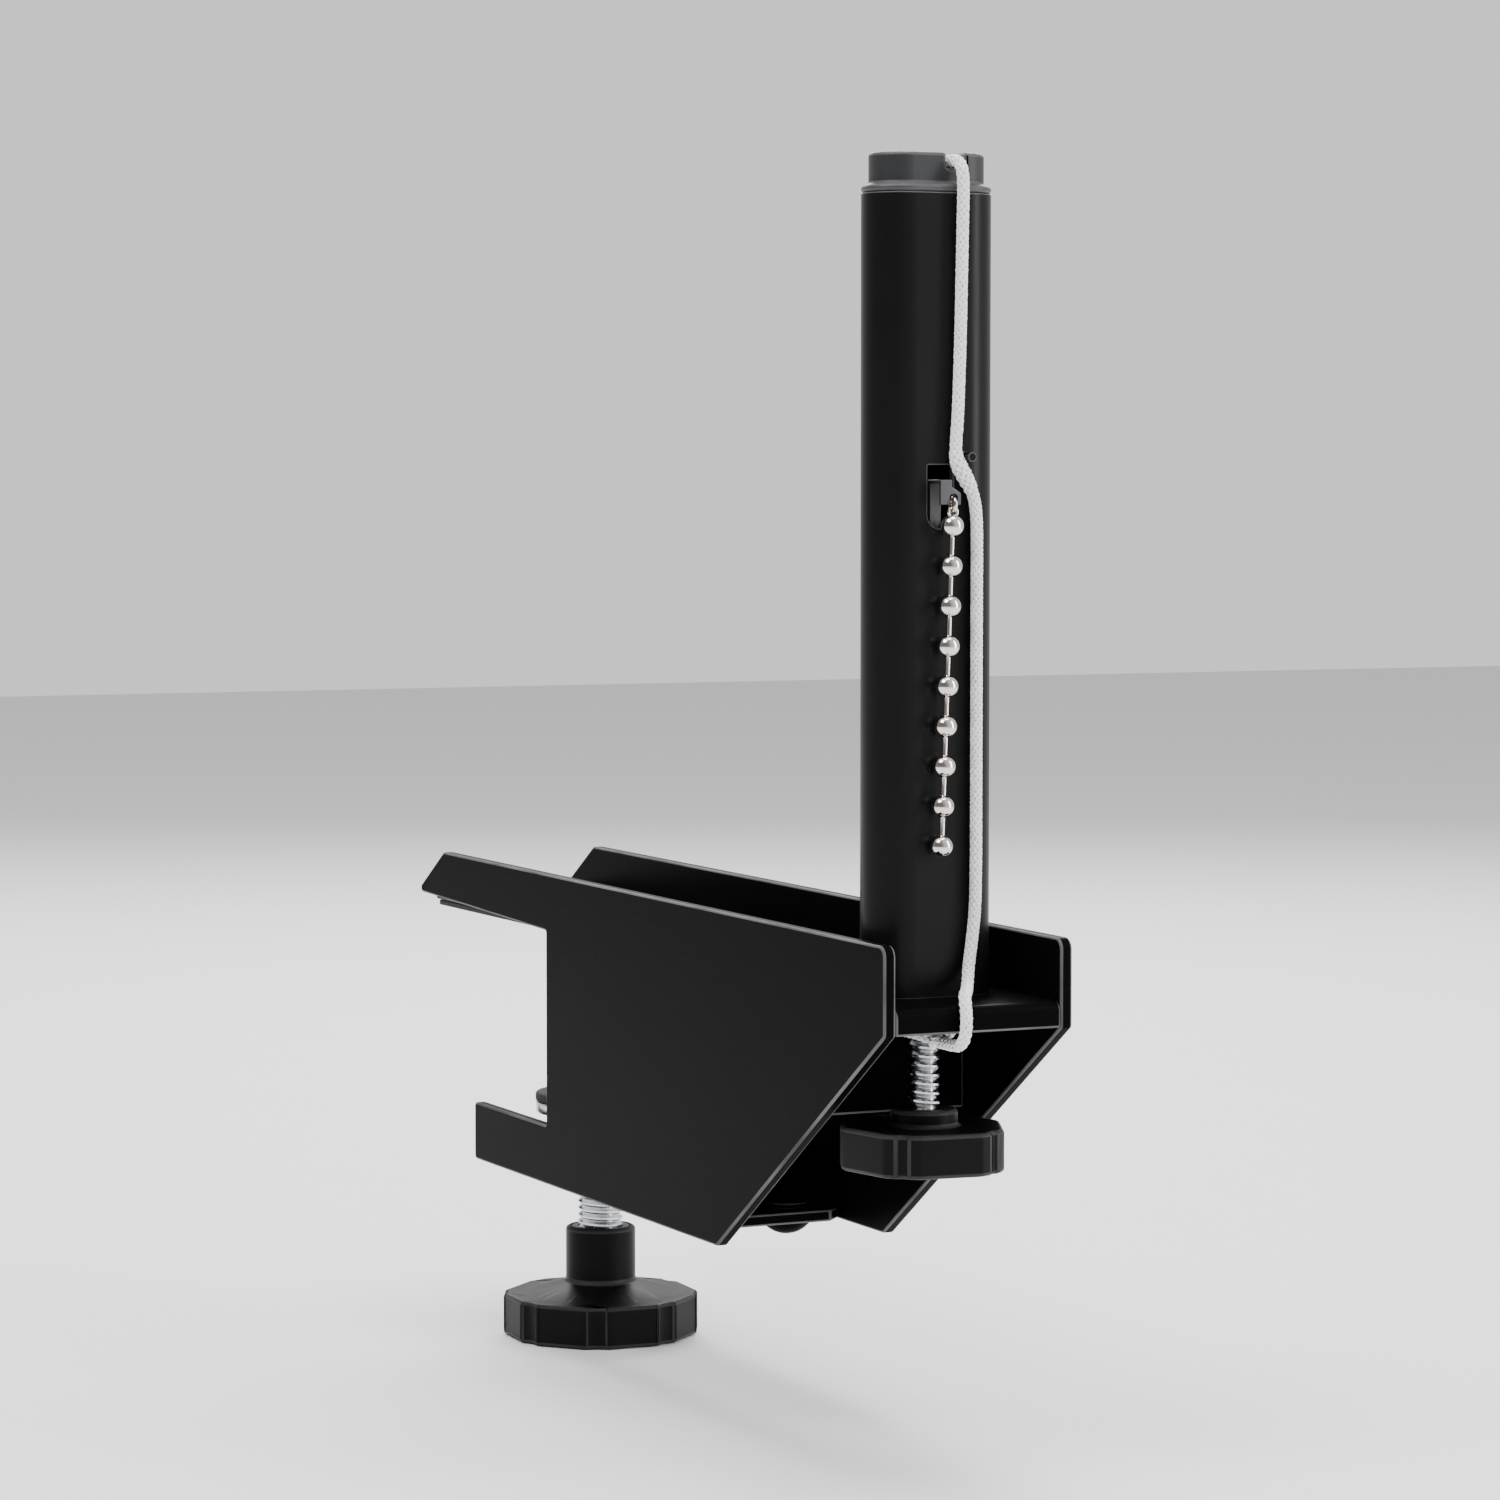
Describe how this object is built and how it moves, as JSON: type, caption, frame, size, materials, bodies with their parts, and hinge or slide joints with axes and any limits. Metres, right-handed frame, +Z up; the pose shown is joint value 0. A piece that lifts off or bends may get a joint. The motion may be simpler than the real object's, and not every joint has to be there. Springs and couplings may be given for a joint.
{
  "type": "table tennis net clamp",
  "caption": "Screw-on net clamp for a table tennis table: folded bracket, net post with cord and bead chain, height screw and clamp screw.",
  "frame": {"origin": "where the plane of the table top meets the table's side edge, midway between the side plates", "axes": "+X points away from the table along the net, +Y runs along the table's edge, +Z is up along the post"},
  "size_m": [0.2434, 0.0424, 0.2531],
  "materials": {
    "powder_coat": "satin black powder coat with a fine texture",
    "black_anodised": "satin black anodised",
    "black_plastic": "moulded, fine matt texture",
    "cap_plastic": "moulded dark grey, matt",
    "rubber": "matt black",
    "zinc": "bright zinc plate",
    "grey_steel": "dull grey spring steel",
    "black_oxide": "blackened steel",
    "nickel": "polished nickel plate",
    "white_cord": "braided white polyester"
  },
  "bodies": {
    "bracket": {"side_plate_near": "powder_coat", "side_plate_far": "powder_coat", "upper_jaw_plate": "powder_coat", "upper_jaw_pad": "rubber", "edge_stop": "powder_coat", "edge_pad": "rubber", "platform_plate": "powder_coat", "cross_web": "powder_coat", "lower_jaw_plate": "powder_coat", "clamp_nut": "zinc", "lower_rivet": "powder_coat", "height_bush": "zinc", "post_guide": "black_plastic", "guide_rivets": "zinc", "net_cord": "white_cord", "cord_loop": "white_cord", "cord_knot": "white_cord"},
    "post": {"post_tube": "black_anodised", "post_cap": "cap_plastic", "lift_plug": "black_plastic", "plug_pin": "zinc", "chain_lug": "grey_steel", "cord_peg": "grey_steel"},
    "height_screw": {"height_screw": "zinc", "height_knob": "black_plastic", "height_insert": "black_oxide", "height_clip": "grey_steel"},
    "pressure_pad": {"pad_plate": "zinc", "pad_rubber": "rubber"},
    "clamp_screw": {"clamp_screw": "zinc", "clamp_knob": "black_plastic", "clamp_insert": "black_oxide"},
    "chain_hook": {"chain_hook": "nickel"},
    "bead_chain": {"chain_eye": "nickel", "chain_beads": "nickel", "chain_links": "nickel"}
  },
  "joints": [
    {"name": "post_lift", "type": "slide", "parent": "bracket", "child": "post", "axis": [0, 0, 1], "range_m": [0, 0.01], "deforming": ["net_cord"]},
    {"name": "height_turn", "type": "hinge", "parent": "post", "child": "height_screw", "pos_m": [0.143, 0, -0.03], "axis": [0, 0, 1], "range_deg": [0, 2057.2]},
    {"name": "pad_lift", "type": "slide", "parent": "bracket", "child": "pressure_pad", "axis": [0, 0, 1], "range_m": [-0.005, 0.012]},
    {"name": "clamp_turn", "type": "hinge", "parent": "pressure_pad", "child": "clamp_screw", "pos_m": [-0.0155, 0, -0.09], "axis": [0, 0, 1], "range_deg": [-1200, 2880]},
    {"name": "chain_swing_out", "type": "hinge", "parent": "post", "child": "chain_hook", "pos_m": [0.153, 0.0007, 0.0952], "axis": [0, -1, 0], "range_deg": [0, 20]},
    {"name": "chain_swing_side", "type": "hinge", "parent": "chain_hook", "child": "bead_chain", "pos_m": [0.153, 0.0007, 0.0928], "axis": [-1, 0, 0], "range_deg": [-3, 35]}
  ],
  "couplings": [
    {"joint": "height_turn", "follows": "post_lift", "rad_per_m": 3590.4},
    {"joint": "clamp_turn", "follows": "pad_lift", "rad_per_m": 4188.8}
  ]
}
